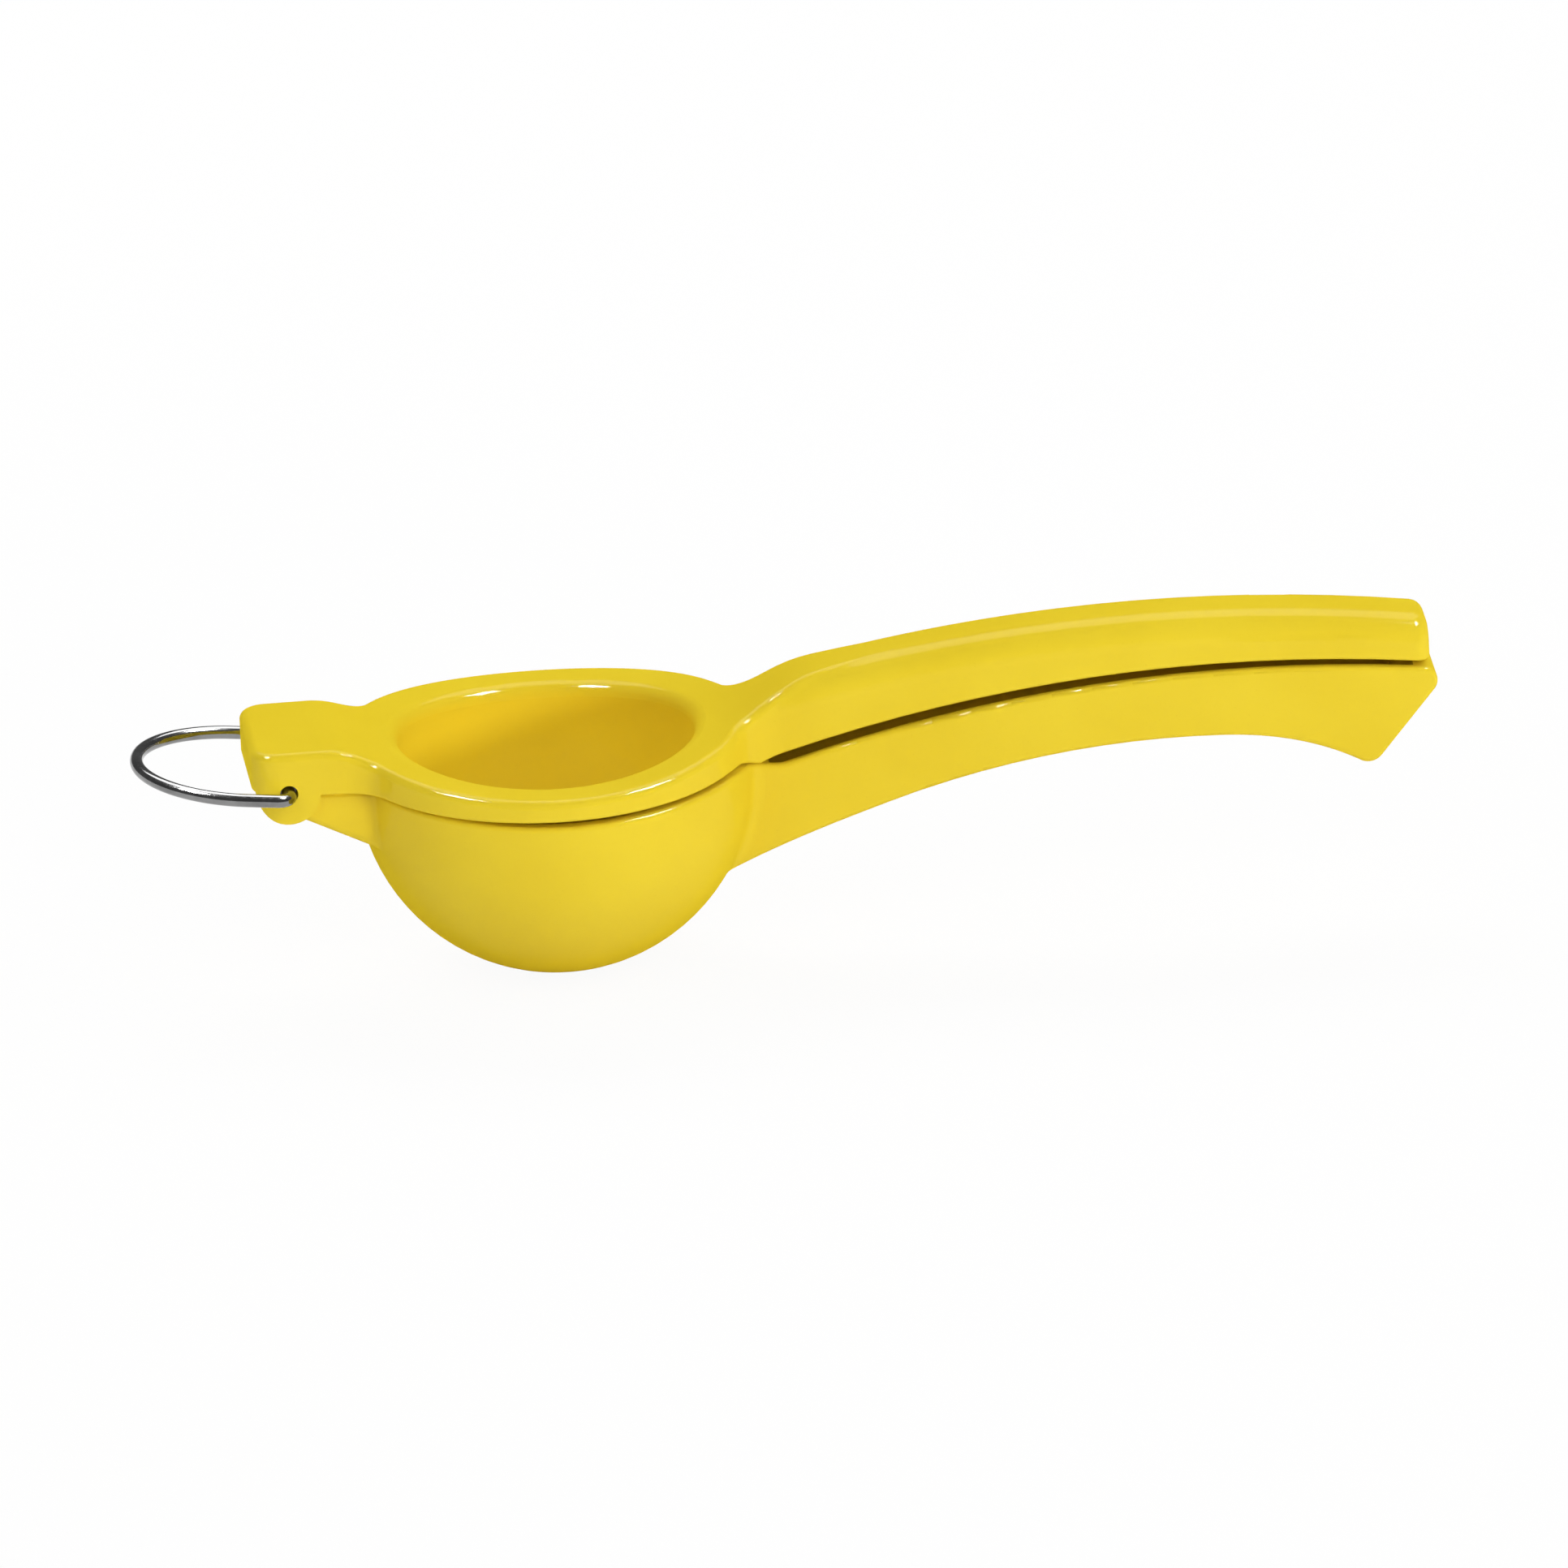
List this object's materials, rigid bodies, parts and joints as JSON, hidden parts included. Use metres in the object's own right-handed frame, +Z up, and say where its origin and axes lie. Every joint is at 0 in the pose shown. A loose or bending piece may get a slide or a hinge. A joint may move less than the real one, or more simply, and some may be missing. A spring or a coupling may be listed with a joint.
{
  "type": "citrus squeezer",
  "caption": "Hand citrus squeezer of enamelled cast metal: hinged press cup and drained bowl, closed by long bowed grips, with a wire bail at the hinge for hanging.",
  "frame": {"origin": "centre of the small flat under the bowl, which the closed squeezer rests on", "axes": "+X from the bowl towards the ends of the grips, +Y across the levers, +Z up through the press cup"},
  "size_m": [0.2289, 0.0702, 0.057],
  "materials": {
    "yellow_enamel": "glossy yellow enamel over cast aluminium",
    "pin_steel": "plain drawn steel",
    "chrome_wire": "bright plated wire"
  },
  "bodies": {
    "lower": {"lower_lever": "yellow_enamel", "hinge_pin": "pin_steel"},
    "upper": {"upper_lever": "yellow_enamel"},
    "bail": {"hanging_ring": "chrome_wire"}
  },
  "joints": [
    {"name": "lever_hinge", "type": "hinge", "parent": "lower", "child": "upper", "pos_m": [-0.04775, 0, 0.03915], "axis": [0, -1, 0], "range_deg": [0, 90]},
    {"name": "ring_swing", "type": "hinge", "parent": "lower", "child": "bail", "pos_m": [-0.04775, 0, 0.03915], "axis": [0, -1, 0], "range_deg": [-45, 120]}
  ]
}
